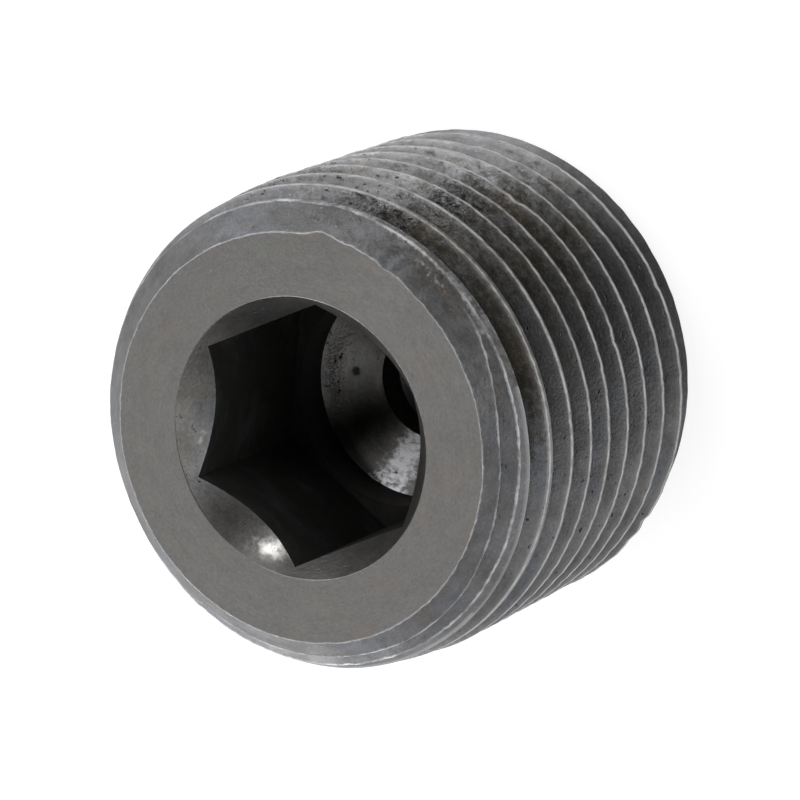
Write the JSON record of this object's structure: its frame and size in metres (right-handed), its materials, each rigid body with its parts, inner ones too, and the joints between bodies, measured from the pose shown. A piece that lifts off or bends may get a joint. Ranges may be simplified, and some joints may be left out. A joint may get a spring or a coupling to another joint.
{
  "type": "hex socket plug",
  "caption": "Taper-thread hex socket pipe plug turned from bar, with a chamfered face, a countersunk hex socket and a stepped blind pilot hole.",
  "frame": {"origin": "centre of the small end face, which the plug stands on", "axes": "+Z along the plug's axis from the small end to the socket face; +X towards one corner of the hexagon"},
  "size_m": [0.0168, 0.0168, 0.013],
  "materials": {
    "black_oxide_steel": "black oxide over turned and thread-cut steel, satin grey, worn bright along the thread crests and edges, pitted on the flanks"
  },
  "bodies": {
    "root": {"socket_plug": "black_oxide_steel"}
  },
  "joints": []
}
